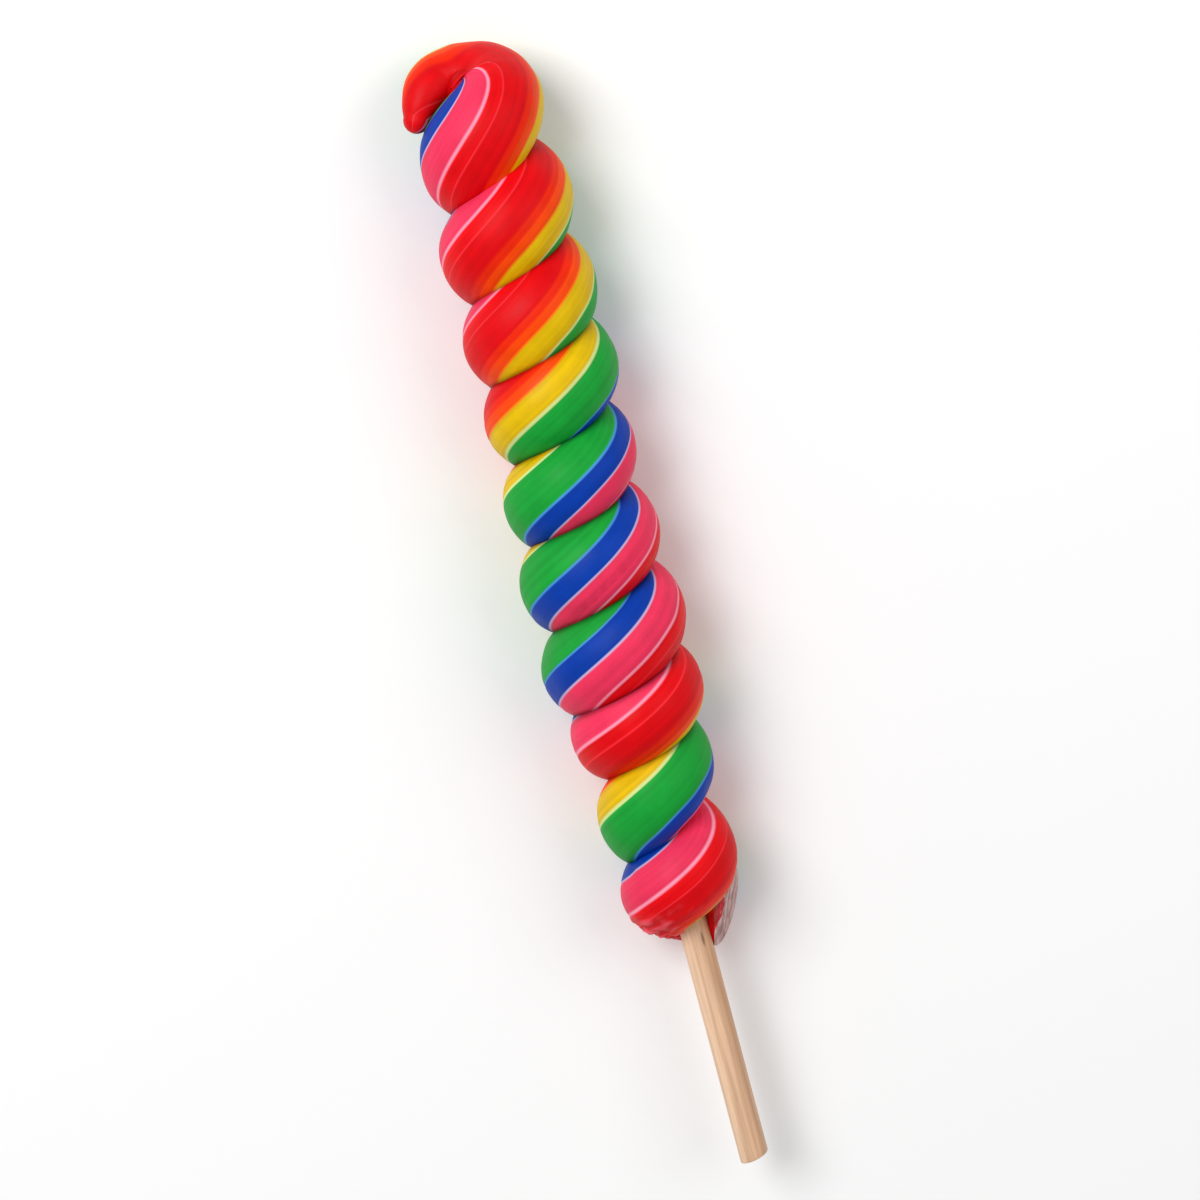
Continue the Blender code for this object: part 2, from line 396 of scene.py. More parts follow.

# %% [markdown]
# ## How near a point is to the next turn
# Light hardly reaches the narrow creases between turns, so shade is painted into them: the
# finish darkens the candy's colour there. For every point, the gap to the turn before and the
# turn after is measured, and the finish paints the shade from it later.

# %% Strength of the painted crease shade at each point, from 0 to 1
CREASE_SHADE_GAP = 1.8
FAR_GAP = 9.0  # where there is no turn before or after
rope_crease_shade = np.zeros((len(turns), SIDES))
for i in range(len(turns)):
    gaps = [np.full(SIDES, FAR_GAP)]
    for k in (i - RINGS_PER_TURN, i + RINGS_PER_TURN):
        if 0 <= k < len(turns):
            gaps.append(np.linalg.norm(rope_points[i] - middles[k], axis=1) - radii[k])
    rope_crease_shade[i] = np.clip(1 - np.min(gaps, axis=0) / CREASE_SHADE_GAP, 0.0, 1.0)
print("share of the points in creases:", round(float((rope_crease_shade > 0).mean()), 2))

# %% [markdown]
# ## The rounded tip
# The rope was drawn out thin at its start, so its tip is closed with a few smaller
# rings that follow a half sphere.

# %% Rings of the tip, placed before the first ring
TIP_LIFTS = (0.999, 0.985, 0.95, 0.88, 0.78, 0.64, 0.46, 0.24)
tip_rings = []
first_ring = rope_points[0]
for lift in TIP_LIFTS:
    middle = middles[0] - along[0] * radii[0] * lift
    tip_rings.append(middle + (first_ring - middles[0]) * math.sqrt(1 - lift**2))
rope_points = np.concatenate([np.array(tip_rings), rope_points])


def with_tip(rows):
    """Values for all the rings, where the tip's rings repeat the first."""
    return np.concatenate([rows[:1].repeat(len(TIP_LIFTS), axis=0), rows])


rope_places = with_tip(rope_places)
rope_crease_shade = with_tip(rope_crease_shade)
rope_fold_highlights = with_tip(rope_fold_highlights)
rope_lengths = np.concatenate([-radii[0] * np.array(TIP_LIFTS), length_along])
print("rings with the tip:", len(rope_points))

# %% [markdown]
# ## Flat places underneath
# A lollipop of this weight was laid down while it was warm, which left a small flat on
# each turn. Every point below the floor is lifted to it.

# %% Lay the rope on the floor
floor_out = -axis_z / MM
below = rope_points[:, :, 2] < floor_out
rope_points[:, :, 2] = np.maximum(rope_points[:, :, 2], floor_out)
print("points resting on the floor:", int(below.sum()))


def to_frame(points):
    """Millimetres from the top of the axis to the frame's own place, in metres."""
    return np.asarray(points) * MM + (axis_x, top_y, axis_z)


# %% [markdown]
# ## Two finishes for one piece
# The candy is one piece with two finishes, the striped outside and the plain sugar
# where the end was cut. They are made here as empty finishes, so that each face can
# be given its own before the lengths are joined. Their nodes come later.

# %% Name the finishes
striped_candy = bpy.data.materials.new("Striped hard candy")
cut_sugar = bpy.data.materials.new("Cut sugar")
STRIPED = 0
CUT = 1


def give_finishes(obj, index):
    """Both finishes on a piece, with one of them on every face."""
    obj.data.materials.clear()
    obj.data.materials.append(striped_candy)
    obj.data.materials.append(cut_sugar)
    for face in obj.data.polygons:
        face.material_index = index


print("finishes:", striped_candy.name, "and", cut_sugar.name)

# %% [markdown]
# ## Winding the lengths
# Each straight cylinder has one ring of points for each ring of the rope. Moving every ring
# to its place winds the cylinder. The rope map's first number is the distance along the rope
# in metres, and its second is the place round the colours. The map of painted light holds how
# deep a point lies in a crease, for the painted crease shade, and how high it stands on a
# fold, for the painted highlight on the fold ridges.

# %% Two named maps for a piece
ROPE_MAP = "Rope"
PAINTED_LIGHT_MAP = "Form"


def two_maps(mesh):
    """The mesh's rope map and its map of painted crease shade and fold highlight, where the
    rope map is the active one.
    """
    mesh.uv_layers[0].name = ROPE_MAP
    mesh.uv_layers.new(name=PAINTED_LIGHT_MAP)
    mesh.uv_layers[ROPE_MAP].active = True
    mesh.uv_layers[ROPE_MAP].active_render = True
    return mesh.uv_layers[ROPE_MAP].data, mesh.uv_layers[PAINTED_LIGHT_MAP].data


print("maps:", ROPE_MAP, PAINTED_LIGHT_MAP)

# %% Wind one cylinder
def ring_and_side(corner):
    """Which ring a point of a straight length is on, and its number round it."""
    turn_round = (math.atan2(corner.y, corner.x) / (2 * math.pi)) % 1.0
    return round(corner.z), round(turn_round * SIDES) % SIDES


def wind_length(name, first, last):
    """The rope from one ring to another, as a closed length with both maps."""
    length = straight_length(name, last - first)
    mesh = length.data
    places = [ring_and_side(corner.co) for corner in mesh.vertices]
    for corner, (ring, side) in zip(mesh.vertices, places):
        corner.co = to_frame(rope_points[first + ring, side])
    give_finishes(length, STRIPED)
    chart, painted_light = two_maps(mesh)
    for face in mesh.polygons:
        sides = [places[mesh.loops[k].vertex_index][1] for k in face.loop_indices]
        wraps = 0 in sides and SIDES - 1 in sides and len(sides) == 4
        for k, side in zip(face.loop_indices, sides):
            ring = first + places[mesh.loops[k].vertex_index][0]
            back = 1.0 if wraps and side == 0 else 0.0
            chart[k].uv = (rope_lengths[ring] * MM, rope_places[ring, side] - back)
            # Painted shade in the creases, and a painted highlight on the fold ridges.
            painted_light[k].uv = (rope_crease_shade[ring, side], rope_fold_highlights[ring, side])
    return length


print("rings to wind:", len(rope_points))

# %% [markdown]
# ## A core through the turns
# Between the turns, deep inside, there would be small empty pockets. Real turns are
# pressed together while soft, so a plain rod with a rounded top fills the middle.

# %% A rod on the axis, and one of its ends
END_FACING = 0.9  # of a face that looks along the axis


def rod(name, radius, down, sides):
    """A cylinder on the axis, from one depth to another."""
    bpy.ops.object.select_all(action="DESELECT")
    bpy.ops.mesh.primitive_cylinder_add(
        vertices=sides,
        radius=radius * MM,
        depth=(down[1] - down[0]) * MM,
        location=to_frame((0, -(down[0] + down[1]) / 2, 0)),
        rotation=(math.pi / 2, 0, 0),
    )
    made = bpy.context.object
    made.name = name
    bpy.ops.object.transform_apply(location=True, rotation=True)
    return made


def end_face(obj, top):
    """Only the face at the tip's end, or at the free end, is left selected."""
    bpy.ops.object.mode_set(mode="EDIT")
    bpy.ops.mesh.select_mode(type="FACE")
    bpy.ops.mesh.select_all(action="DESELECT")
    bpy.ops.object.mode_set(mode="OBJECT")
    for face in obj.data.polygons:
        facing = face.normal.y if top else -face.normal.y
        face.select = facing > END_FACING
    bpy.ops.object.mode_set(mode="EDIT")


print("a face at an end turns at most", round(math.degrees(math.acos(END_FACING))), "degrees")

# %% The core rod
CORE_RADIUS = 4.0
CORE_DOWN = (7.5, 145.0)
CORE_SIDES = 40
CORE_TOP = ((1.8, 0.8), (0.96, 0.5))  # each step's rise, and its share of the last width
# Painted crease shade, given to the whole core.
CORE_PAINTED_SHADE = 0.4

candy = rod("striped_candy_coil", CORE_RADIUS, CORE_DOWN, CORE_SIDES)
end_face(candy, top=True)
for rise, share in CORE_TOP:
    bpy.ops.mesh.extrude_region_move(
        TRANSFORM_OT_translate={"value": (0, rise * MM, 0)}
    )
    bpy.ops.transform.resize(value=(share, share, share))
bpy.ops.object.mode_set(mode="OBJECT")
give_finishes(candy, STRIPED)
core_chart, core_shade_spots = two_maps(candy.data)
for spot in core_chart:
    spot.uv = (0.0, ROOT_PLACE)
for spot in core_shade_spots:
    spot.uv = (CORE_PAINTED_SHADE, 0.0)
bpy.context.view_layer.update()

# %% [markdown]
# ## Joining the lengths
# A Boolean union joins the lengths into one skin with sharp creases between the turns.
# It carries the maps and the finishes over to the new faces.

# %% Join with a union, cut with a difference
def combine(target, operation, other):
    """Join the other piece to the target, or cut it away, and remove the other."""
    bpy.ops.object.select_all(action="DESELECT")
    bpy.context.view_layer.objects.active = target
    target.select_set(True)
    step = target.modifiers.new(operation, "BOOLEAN")
    step.operation = operation
    step.solver = "MANIFOLD"
    step.object = other
    bpy.ops.object.modifier_apply(modifier=step.name)
    bpy.data.objects.remove(other, do_unlink=True)


last_ring = len(rope_points) - 1
first = 0
while first < last_ring:
    last = min(first + HALF_TURN + 1, last_ring)
    length = wind_length("length", first, last)
    if last == last_ring:
        for face in length.data.polygons:
            if len(face.vertices) > 4 and face.center.x > axis_x:
                face.material_index = CUT
    combine(candy, "UNION", length)
    first = last if last == last_ring else last - 1
print("joined faces:", len(candy.data.polygons))

# %% [markdown]
# ## Room for the stick
# The sugar set tight round the stick. A hole with a hair's breadth to spare keeps the
# two pieces apart.

# %% The stick's hole
ROOM = 0.08
STICK_TOP_DOWN = 111.0
STICK_SIDES = 96
HOLE_DOWN = (STICK_TOP_DOWN - ROOM, 175.0)  # it ends well beyond the candy
hole = rod("hole", stick_radius / MM + ROOM, HOLE_DOWN, STICK_SIDES)
give_finishes(hole, CUT)
two_maps(hole.data)
combine(candy, "DIFFERENCE", hole)
print("faces with the hole:", len(candy.data.polygons))

# %% Loose inner pockets removed
bpy.ops.object.mode_set(mode="EDIT")
bpy.ops.mesh.select_all(action="SELECT")
bpy.ops.mesh.separate(type="LOOSE")
bpy.ops.object.mode_set(mode="OBJECT")
pieces = [o for o in bpy.context.selected_objects if o.type == "MESH"]
pieces.sort(key=lambda piece: len(piece.data.polygons))
candy = pieces.pop()
for pocket in pieces:
    bpy.data.objects.remove(pocket, do_unlink=True)
candy.name = "striped_candy_coil"
print("pockets removed:", len(pieces))

# %% Smooth turns with sharp creases
CREASE_ANGLE = math.radians(38)
bpy.ops.object.select_all(action="DESELECT")
bpy.context.view_layer.objects.active = candy
candy.select_set(True)
bpy.ops.object.shade_smooth_by_angle(angle=CREASE_ANGLE)
candy.data.uv_layers[ROPE_MAP].active = True
candy.data.uv_layers[ROPE_MAP].active_render = True
print("faces of the candy:", len(candy.data.polygons))
print("maps of the candy:", sorted(layer.name for layer in candy.data.uv_layers))

# %% [markdown]
# ## The stick
# The stick is a turned birch dowel. Its free end was sawn a little aslant, and its edges
# were worn soft by tumbling, so the cylinder gets a leaning end, a small bevel and
# slightly uneven sides.

# %% A dowel with a leaning end and soft edges
STICK_DOWN = (STICK_TOP_DOWN, STICK_END_DOWN)
END_SLOPE = 0.2
EDGE_SOFTNESS = 0.25

stick = rod("birch_stick", stick_radius / MM, STICK_DOWN, STICK_SIDES)
end_face(stick, top=False)
free_end = to_frame((0, -STICK_DOWN[1], 0))
bpy.ops.object.mode_set(mode="OBJECT")
for corner in stick.data.vertices:
    if corner.co.y < free_end[1] + MM:
        corner.co.y += END_SLOPE * (corner.co.x - axis_x)
bevel = stick.modifiers.new("soft edges", "BEVEL")
bevel.width = EDGE_SOFTNESS * MM
bevel.segments = 4
bevel.limit_method = "ANGLE"
bpy.ops.object.modifier_apply(modifier=bevel.name)
print("faces of the plain dowel:", len(stick.data.polygons))

# %% Rings along the dowel, and slightly uneven sides
STICK_RINGS = 60
STICK_WAVER = 0.035
WAVER_ACROSS, WAVER_ALONG = 300, 60
SOFT_ANGLE = math.radians(50)

bpy.ops.object.mode_set(mode="EDIT")
bpy.ops.mesh.select_mode(type="EDGE")
bpy.ops.mesh.select_all(action="DESELECT")
bpy.ops.object.mode_set(mode="OBJECT")
corners = stick.data.vertices
for edge in stick.data.edges:
    a, b = edge.vertices
    edge.select = abs(corners[a].co.y - corners[b].co.y) > 50 * MM  # long edges only
bpy.ops.object.mode_set(mode="EDIT")
bpy.ops.mesh.subdivide(number_cuts=STICK_RINGS - 1)
bpy.ops.object.mode_set(mode="OBJECT")
for corner in corners:
    x, y, z = corner.co
    spot = Vector((x * WAVER_ACROSS, y * WAVER_ALONG, z * WAVER_ACROSS))
    inward = 1 - STICK_WAVER * MM / stick_radius * (1 + noise.noise(spot))
    corner.co.x = axis_x + (corner.co.x - axis_x) * inward
    corner.co.z = axis_z + (corner.co.z - axis_z) * inward
bpy.ops.object.shade_smooth_by_angle(angle=SOFT_ANGLE)
print("faces of the stick:", len(stick.data.polygons))

# %% [markdown]
# ## Building nodes
# The finishes are built from nodes. Short helpers add a node with its settings and join
# it to others, so each finish below reads as a list of what it is made from.

# %% Colours, nodes and groups
def colour(red, green, blue):
    """A screen colour from 0 to 255 as linear light."""
    parts = [part / 255 for part in (red, green, blue)]
    linear = [p / 12.92 if p <= 0.04045 else ((p + 0.055) / 1.055) ** 2.4 for p in parts]
    return (*linear, 1.0)


def add(tree, kind, inputs=None, **settings):
    """A node with its settings. An input is a value, or another node's output."""
    node = tree.nodes.new(kind)
    for name, value in settings.items():
        setattr(node, name, value)
    for name, value in (inputs or {}).items():
        if isinstance(value, bpy.types.NodeSocket):
            tree.links.new(value, node.inputs[name])
        else:
            node.inputs[name].default_value = value
    return node


def new_group(name, inputs, outputs):
    """An empty node group with named inputs and outputs."""
    group = bpy.data.node_groups.new(name, "ShaderNodeTree")
    for label, kind, value in inputs:
        socket = group.interface.new_socket(label, in_out="INPUT", socket_type=kind)
        if value is not None:
            socket.default_value = value
    for label, kind in outputs:
        group.interface.new_socket(label, in_out="OUTPUT", socket_type=kind)
    entry = group.nodes.new("NodeGroupInput")
    result = group.nodes.new("NodeGroupOutput")
    return group, entry.outputs, result.inputs


FLOAT = "NodeSocketFloat"
VECTOR = "NodeSocketVector"
print("a red in linear light:", colour(225, 10, 24))

# %% Sums, noise and ranges
def calc(tree, operation, *values):
    """The result of one sum."""
    node = add(tree, "ShaderNodeMath", dict(enumerate(values)), operation=operation)
    return node.outputs[0]


def vector_calc(tree, operation, first, second):
    """A sum with two places, as the node that works it out."""
    return add(tree, "ShaderNodeVectorMath", {0: first, 1: second}, operation=operation)


def speckle(tree, place, scale, detail, roughness=0.5):
    """Noise from 0 to 1, finer where the scale is higher."""
    inputs = {"Vector": place, "Scale": scale, "Detail": detail, "Roughness": roughness}
    return add(tree, "ShaderNodeTexNoise", inputs).outputs["Fac"]


def spread(tree, value, start, end, low, high, **settings):
    """A value that ran from start to end runs from low to high."""
    ends = {"From Min": start, "From Max": end, "To Min": low, "To Max": high}
    node = add(tree, "ShaderNodeMapRange", {"Value": value, **ends}, **settings)
    return node.outputs["Result"]


print("helpers:", calc.__name__, vector_calc.__name__, speckle.__name__, spread.__name__)

# %% Mixed colours and bumps
def blend(tree, share, under, over, **settings):
    """Two colours, mixed by a share from 0 to 1."""
    inputs = {"Factor": share, "A": under, "B": over}
    node = add(tree, "ShaderNodeMix", inputs, data_type="RGBA", **settings)
    return node.outputs["Result"]


def shaded(tree, value, dark, light, start=0.0, end=1.0):
    """A colour that runs from dark to light as the value runs from start to end."""
    node = add(tree, "ShaderNodeValToRGB", {"Fac": value})
    low, high = node.color_ramp.elements
    low.position = start
    low.color = dark
    high.position = end
    high.color = light
    return node.outputs["Color"]


def raise_bumps(tree, shader, height, distance, strength):
    """Bumps from a height, joined to the shader."""
    inputs = {"Height": height, "Distance": distance, "Strength": strength}
    bump = add(tree, "ShaderNodeBump", inputs)
    tree.links.new(bump.outputs["Normal"], shader.inputs["Normal"])


print("helpers:", blend.__name__, shaded.__name__, raise_bumps.__name__)

# %% [markdown]
# ## Pulled sugar
# Pulled sugar is full of fine threads that run along the rope, and its surface is not
# quite smooth. Both the striped skin and the cut end show it, so it is one node group.
# It takes a place on the piece and gives threads, soft mottling and a height.

# %% The pulled sugar group
THREAD_HEIGHT = 0.65
PIT_HEIGHT = 0.25
PIT_SIZE = 1400.0  # a noise scale, so a higher number gives smaller pits

sugar, given, gives = new_group(
    "Pulled sugar",
    [("Place", VECTOR, None), ("Threads", VECTOR, None), ("Mottle Size", FLOAT, 300.0)],
    [("Thread", FLOAT), ("Mottle", FLOAT), ("Height", FLOAT)],
)
thread = speckle(sugar, given["Threads"], 1.0, 4.0, 0.6)
mottle = speckle(sugar, given["Place"], given["Mottle Size"], 3.0)
pits = speckle(sugar, given["Place"], PIT_SIZE, 2.0)
ribs = calc(sugar, "MULTIPLY", thread, THREAD_HEIGHT)
height = calc(sugar, "MULTIPLY_ADD", pits, PIT_HEIGHT, ribs)
for name, output in (("Thread", thread), ("Mottle", mottle), ("Height", height)):
    sugar.links.new(output, gives[name])


def pull_sugar(tree, threads, mottle_size):
    """The sugar group placed in a finish. Gives its outputs."""
    place = add(tree, "ShaderNodeTexCoord").outputs["Object"]
    inputs = {"Place": place, "Threads": threads, "Mottle Size": mottle_size}
    return add(tree, "ShaderNodeGroup", inputs, node_tree=sugar).outputs


print("nodes in the group:", len(sugar.nodes))

# %% [markdown]
# ## Six colours with pale lines between
# Going round the rope there are red, orange, yellow, green, blue and pink strips. Where
# two strips met, the white sugar between them shows as a thin pale line. A colour ramp
# over the place round the rope gives them all, each with its own width.

# %% Strips round the rope, in degrees
RED = colour(226, 0, 12)
DEEP_RED = colour(214, 0, 10)
YELLOW = colour(220, 180, 0)
GREEN = colour(20, 153, 52)
BLUE = colour(0, 56, 160)
PINK = colour(232, 50, 88)
PALE_PINK = colour(248, 150, 176)
# Each row is where a colour starts, how softly it starts, and the colour.
STRIPS = (
    (0.0, 1.2, PALE_PINK),
    (2.6, 1.8, RED),
    (28.0, 1.2, colour(237, 44, 56)),
    (30.8, 1.2, DEEP_RED),
    (83.0, 3.5, colour(230, 36, 0)),
    (99.0, 2.5, colour(242, 70, 0)),
    (117.0, 0.8, colour(246, 128, 14)),
    (120.5, 0.8, YELLOW),
    (164.0, 1.0, colour(205, 220, 140)),
    (170.0, 1.0, GREEN),
    (252.0, 0.9, colour(70, 140, 205)),
    (256.0, 0.9, BLUE),
    (296.3, 1.0, colour(192, 176, 214)),
    (300.0, 1.2, PINK),
    (357.0, 1.8, PALE_PINK),
)


def strip_ramp(ramp):
    """Fill a colour ramp with the strips. Its stops must stand in rising order."""
    ramp.interpolation = "LINEAR"
    stops = [(0.0, STRIPS[0][2])]
    for (_, _, before), (start, softness, shade) in zip(STRIPS, STRIPS[1:]):
        stops.append((start - softness, before))
        stops.append((start + softness, shade))
    stops.append((360.0, STRIPS[-1][2]))
    while len(ramp.elements) < len(stops):
        ramp.elements.new(1.0)
    for element, (place, shade) in zip(ramp.elements, stops):
        element.position = place / 360
        element.color = shade


print("strips:", len(STRIPS))

# %% [markdown]
# ## The striped skin
# The rope map's second number counts whole turns round the colours, so its fraction is
# the place among the strips. A little noise along the rope keeps their edges from being
# ruled. The threads follow the rope because they are drawn on a cylinder of the map.

# %% The map as a cylinder
striped_candy.use_nodes = True
tree = striped_candy.node_tree
skin = tree.nodes["Principled BSDF"]
chart = add(tree, "ShaderNodeUVMap", uv_map=ROPE_MAP)
on_map = add(tree, "ShaderNodeSeparateXYZ", {"Vector": chart.outputs["UV"]}).outputs
turned = calc(tree, "MULTIPLY", on_map["Y"], 2 * math.pi)
cosine = calc(tree, "COSINE", turned)
sine = calc(tree, "SINE", turned)
on_rope = add(tree, "ShaderNodeCombineXYZ", {"X": cosine, "Y": sine, "Z": on_map["X"]})
print("map in use:", chart.uv_map)

# %% Strips with slightly uneven edges
WOBBLE = 0.022  # as a share of the way round
WOBBLE_STRETCH = (1.6, 1.6, 60.0)
wobble_place = vector_calc(tree, "MULTIPLY", on_rope.outputs[0], WOBBLE_STRETCH)
wobble = speckle(tree, wobble_place.outputs[0], 1.0, 1.0)
centred = calc(tree, "SUBTRACT", wobble, 0.5)
place = calc(tree, "MULTIPLY_ADD", centred, WOBBLE, on_map["Y"])
strips = add(tree, "ShaderNodeValToRGB", {"Fac": calc(tree, "FRACT", place)})
strip_ramp(strips.color_ramp)
print("stops in the ramp:", len(strips.color_ramp.elements))

# %% Threads lighten and darken the colours
THREAD_STRETCH = (5.0, 5.0, 22.0)
MOTTLE_SHARE = 0.45
thread_place = vector_calc(tree, "MULTIPLY", on_rope.outputs[0], THREAD_STRETCH)
pulled = pull_sugar(tree, thread_place.outputs[0], 320.0)
uneven = calc(tree, "MULTIPLY_ADD", pulled["Mottle"], MOTTLE_SHARE, pulled["Thread"])
brightness = spread(tree, uneven, 0.5, 0.95, 0.84, 1.1)
threaded = blend(tree, 1.0, strips.outputs["Color"], brightness, blend_type="MULTIPLY")
print("outputs of the sugar group:", len(pulled))

# %% Painted shade darkens the creases, and a painted highlight pales the fold ridges
CREASE_SHADE_TINT = colour(112, 76, 88)
CREASE_SHADE_SHARE = 0.85
FOLD_HIGHLIGHT_TINT = colour(250, 104, 122)
painted_light_chart = add(tree, "ShaderNodeUVMap", uv_map=PAINTED_LIGHT_MAP)
painted_light = add(tree, "ShaderNodeSeparateXYZ", {"Vector": painted_light_chart.outputs["UV"]}).outputs
soft_step = {"interpolation_type": "SMOOTHSTEP"}
# Painted shade: the colour is darkened toward the creases between turns.
crease_shade = spread(tree, painted_light["X"], 0.0, 1.0, 0.0, CREASE_SHADE_SHARE, **soft_step)
crease_shaded = blend(tree, crease_shade, threaded, CREASE_SHADE_TINT, blend_type="MULTIPLY")
# Painted highlight: the fold ridges are tinted paler.
fold_highlighted = blend(tree, painted_light["Y"], crease_shaded, FOLD_HIGHLIGHT_TINT)
tree.links.new(fold_highlighted, skin.inputs["Base Color"])
print("map in use:", painted_light_chart.uv_map)

# %% The satin surface
roughness = spread(tree, pulled["Mottle"], 0.0, 1.0, 0.38, 0.6)
tree.links.new(roughness, skin.inputs["Roughness"])
raise_bumps(tree, skin, pulled["Height"], 0.25 * MM, 0.35)
skin.inputs["Specular IOR Level"].default_value = 0.12
print("nodes of the striped finish:", len(tree.nodes))

# %% [markdown]
# ## The cut end
# Where the rope was cut, the inside of the candy shows. Red sugar was smeared over most of
# it, and a greyish pink strip of bare sugar is left along the outer side. A line with a
# ragged edge parts the two. Beside the stick the red is painted darker, as painted shadow
# from the stick and the turn beside it.

# %% How far a point lies beyond the edge of the smear
SMEAR_EDGE = tuple(to_frame((5.9, -149.3, 0)))
EDGE_WAY = (0.844, -0.537, 0.0)  # from the stick toward the outer side
RAGGEDNESS = 3.0 * MM
CUT_THREADS = (700.0, 120.0, 700.0)

cut_sugar.use_nodes = True
tree = cut_sugar.node_tree
cut = tree.nodes["Principled BSDF"]
object_place = add(tree, "ShaderNodeTexCoord").outputs["Object"]
wide_place = add(tree, "ShaderNodeMapping", {"Vector": object_place, "Scale": CUT_THREADS})
pulled = pull_sugar(tree, wide_place.outputs["Vector"], 600.0)
from_edge = vector_calc(tree, "SUBTRACT", object_place, SMEAR_EDGE).outputs[0]
beyond = vector_calc(tree, "DOT_PRODUCT", from_edge, EDGE_WAY).outputs["Value"]
ragged = calc(tree, "MULTIPLY_ADD", pulled["Mottle"], RAGGEDNESS, beyond)
print("the smear ends at:", SMEAR_EDGE)

# %% Bare sugar, and the red smear with painted shadow beside the stick
STICK_SHADOW_FROM, STICK_SHADOW_TO = -0.9 * MM, 1.3 * MM
BARE_FROM, BARE_TO = 1.3 * MM, 1.7 * MM
grey = colour(146, 108, 104)
pale = colour(226, 190, 186)
bare_sugar = shaded(tree, pulled["Thread"], grey, pale, start=0.35, end=0.65)
# Painted shadow: the red smear darkens from its own red to a deep red toward the stick.
stick_shadow_fade = spread(tree, ragged, STICK_SHADOW_FROM, STICK_SHADOW_TO, 0.0, 1.0)
smear_with_painted_shadow = shaded(tree, stick_shadow_fade, colour(92, 0, 10), colour(204, 2, 26))
bare = spread(tree, ragged, BARE_FROM, BARE_TO, 0.0, 1.0)
tree.links.new(blend(tree, bare, smear_with_painted_shadow, bare_sugar), cut.inputs["Base Color"])
raise_bumps(tree, cut, pulled["Mottle"], 1.5 * MM, 0.8)
cut.inputs["Roughness"].default_value = 0.5
cut.inputs["Specular IOR Level"].default_value = 0.06
print("nodes of the cut finish:", len(tree.nodes))

# %% [markdown]
# ## Birch
# The wood is pale tan with fine dark lines that run the whole length of the stick, and
# broad bands of lighter and darker wood across it. The noise is stretched along the
# stick to draw them.

# %% Bands, with a painted highlight along the left side
BAND_STRETCH = (330.0, 9.0, 330.0)
PAINTED_HIGHLIGHT_SIDE = (axis_x - 1.9 * MM, axis_x - 1.0 * MM)

birch = bpy.data.materials.new("Birch wood")
birch.use_nodes = True
stick.data.materials.clear()
stick.data.materials.append(birch)
tree = birch.node_tree
wood = tree.nodes["Principled BSDF"]
object_place = add(tree, "ShaderNodeTexCoord").outputs["Object"]
band_place = add(tree, "ShaderNodeMapping", {"Vector": object_place, "Scale": BAND_STRETCH})
bands = speckle(tree, band_place.outputs[0], 1.0, 2.0)
across = add(tree, "ShaderNodeSeparateXYZ", {"Vector": object_place}).outputs["X"]
# Painted highlight: the dowel's left side, toward the key light, is painted lighter.
bands_and_highlight = calc(tree, "ADD", bands, spread(tree, across, *PAINTED_HIGHLIGHT_SIDE, 0.3, -0.04))
tan = colour(206, 158, 120)
cream = colour(240, 202, 168)
banded_and_highlighted = shaded(tree, bands_and_highlight, tan, cream, start=0.32, end=0.7)
print("nodes of the bands:", len(tree.nodes))

# %% Fine grain
GRAIN_STRETCH = (1500.0, 45.0, 1500.0)
grain_place = add(
    tree, "ShaderNodeMapping", {"Vector": object_place, "Scale": GRAIN_STRETCH}
)
grain = speckle(tree, grain_place.outputs[0], 1.0, 5.0, 0.65)
grain_shade = spread(tree, grain, 0.3, 0.7, 0.7, 1.06)
grained = blend(tree, 1.0, banded_and_highlighted, grain_shade, blend_type="MULTIPLY")
print("nodes with the grain:", len(tree.nodes))

# %% A small dark mark below the candy
MARK_PLACE = tuple(to_frame((1.0, -153.4, 2.5)))
MARK_SIZE = (0.3 * MM, 1.5 * MM, 1.0 * MM)
mark_place = add(
    tree,
    "ShaderNodeMapping",
    {"Vector": object_place, "Location": MARK_PLACE, "Scale": MARK_SIZE},
    vector_type="TEXTURE",
)
from_mark = add(
    tree, "ShaderNodeVectorMath", {0: mark_place.outputs[0]}, operation="LENGTH"
)
mark = spread(tree, from_mark.outputs["Value"], 0.5, 1.1, 0.75, 0.0)
marked = blend(tree, mark, grained, colour(110, 66, 46))
tree.links.new(marked, wood.inputs["Base Color"])
raise_bumps(tree, wood, grain, 0.1 * MM, 0.5)
wood.inputs["Roughness"].default_value = 0.62
print("nodes of the birch:", len(tree.nodes))

# %% [markdown]
# ## Hand the pieces to the frame
# Each new piece stands for one part of the imported model and rides on its only body.

# %% Ride and replace
for piece, node in ((candy, "candy"), (stick, "stick")):
    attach(piece, "root")
    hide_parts(node)
print("pieces:", candy.name, stick.name)

# %% [markdown]
# ## Floor, light and camera
# A pale floor and soft light from the upper left show the satin surface. The camera
# stands above, a little toward the tip of the candy, and it is rolled so that the
# lollipop leans to the left.

# %% The floor
FLOOR_SIDE = 8.0
bpy.ops.object.select_all(action="DESELECT")
bpy.ops.mesh.primitive_plane_add(size=FLOOR_SIDE, location=(0, 0, 0))
floor = bpy.context.object
floor.name = "floor"
paper = bpy.data.materials.new("Pale paper")
paper.use_nodes = True
paper_shader = paper.node_tree.nodes["Principled BSDF"]
paper_shader.inputs["Base Color"].default_value = (0.9, 0.9, 0.9, 1.0)
paper_shader.inputs["Roughness"].default_value = 0.9
floor.data.materials.append(paper)
print("floor side:", FLOOR_SIDE)


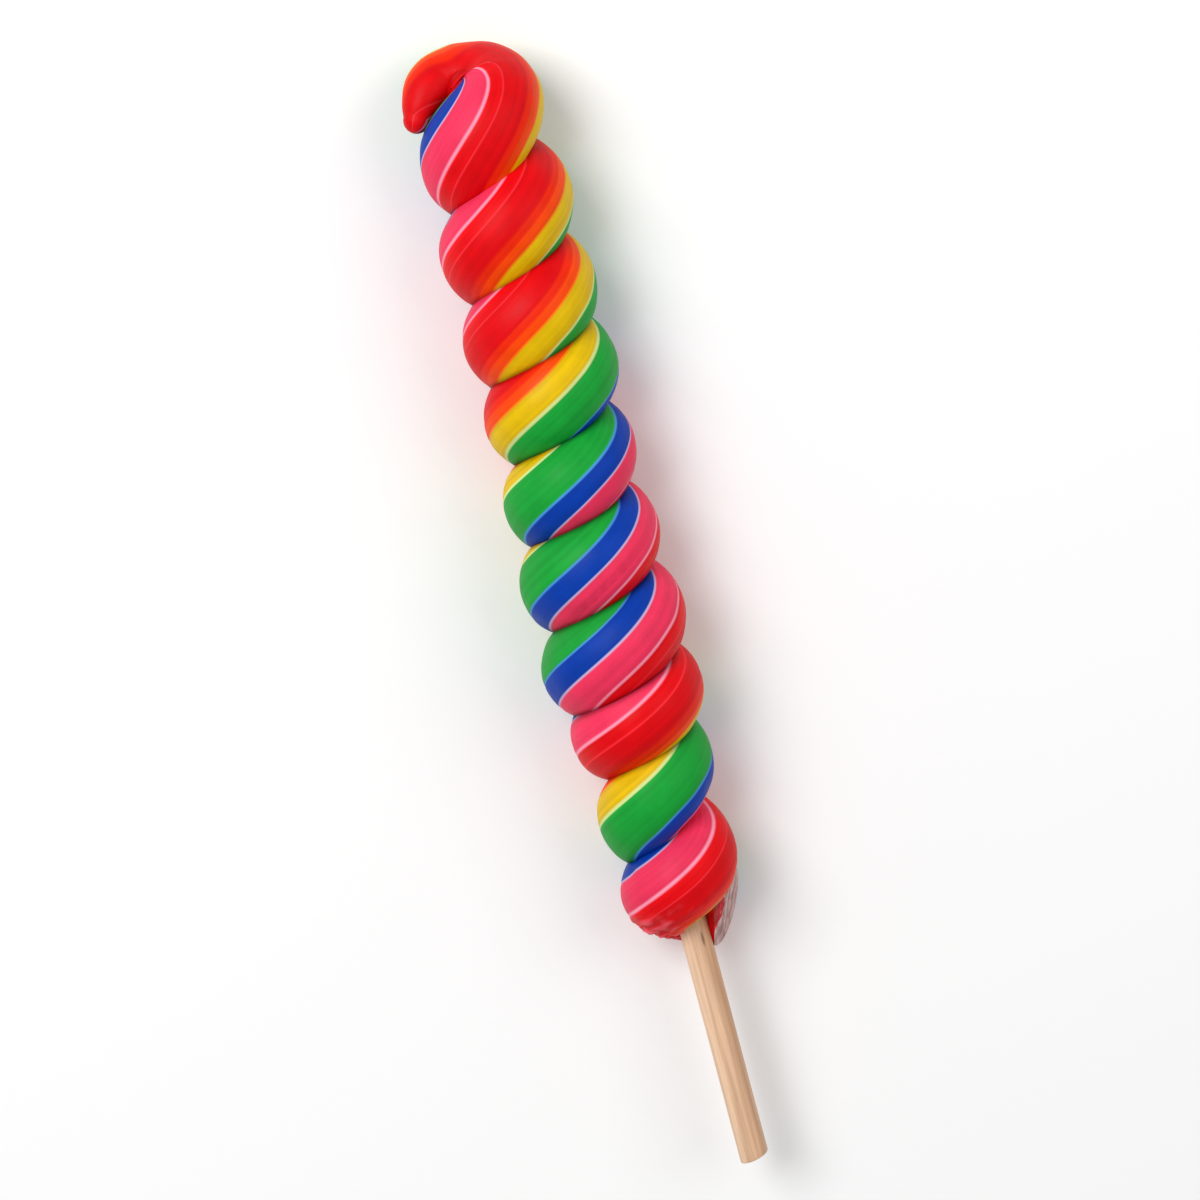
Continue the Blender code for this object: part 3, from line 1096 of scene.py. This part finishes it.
# %% The light
def lamp(name, place, size, watts):
    """A square soft light that points at the middle of the lollipop."""
    data = bpy.data.lights.new(name, "AREA")
    data.size = size
    data.energy = watts
    light = bpy.data.objects.new(name, data)
    light.location = place
    light.rotation_euler = Vector(place).to_track_quat("Z", "Y").to_euler()
    bpy.context.scene.collection.objects.link(light)
    return light


lamp("key light", (-0.4, 0.5, 0.8), 0.55, 7.5)
lamp("fill light", (0.6, 0.2, 0.7), 0.6, 2.2)
world = bpy.data.worlds.new("studio")
world.use_nodes = True
sky = world.node_tree.nodes["Background"]
sky.inputs["Color"].default_value = (1.0, 1.0, 1.0, 1.0)
sky.inputs["Strength"].default_value = 0.45
bpy.context.scene.world = world
bpy.context.scene.view_settings.view_transform = "Standard"
print("lights:", len(bpy.data.lights))

# %% The camera
LENS = 147.2
SENSOR_WIDTH = 36.0
VIEW_DISTANCE = 0.8
VIEW_TILT = math.radians(12)
VIEW_ROLL = math.radians(14.85)
AIM_DOWN = 96.9
SHIFT_LEFT, SHIFT_UP = 0.00875, 0.01133  # as shares of the picture's width

aim = Vector(to_frame((0, -AIM_DOWN, 0)))
back = Vector((0, math.sin(VIEW_TILT), math.cos(VIEW_TILT)))
level_up = Vector((0, math.cos(VIEW_TILT), -math.sin(VIEW_TILT)))
level_right = Vector((1, 0, 0))
right = level_right * math.cos(VIEW_ROLL) - level_up * math.sin(VIEW_ROLL)
up = level_right * math.sin(VIEW_ROLL) + level_up * math.cos(VIEW_ROLL)
camera_data = bpy.data.cameras.new("camera")
camera_data.lens = LENS
camera_data.sensor_width = SENSOR_WIDTH
camera_data.shift_x = -SHIFT_LEFT
camera_data.shift_y = SHIFT_UP
camera_data.clip_start = 0.01
camera = bpy.data.objects.new("camera", camera_data)
view_turn = Matrix([[right[k], up[k], back[k]] for k in range(3)])
view_place = Matrix.Translation(aim + back * VIEW_DISTANCE)
camera.matrix_world = view_place @ view_turn.to_4x4()
bpy.context.scene.collection.objects.link(camera)
bpy.context.scene.camera = camera
print("camera at:", tuple(round(x, 3) for x in camera.location))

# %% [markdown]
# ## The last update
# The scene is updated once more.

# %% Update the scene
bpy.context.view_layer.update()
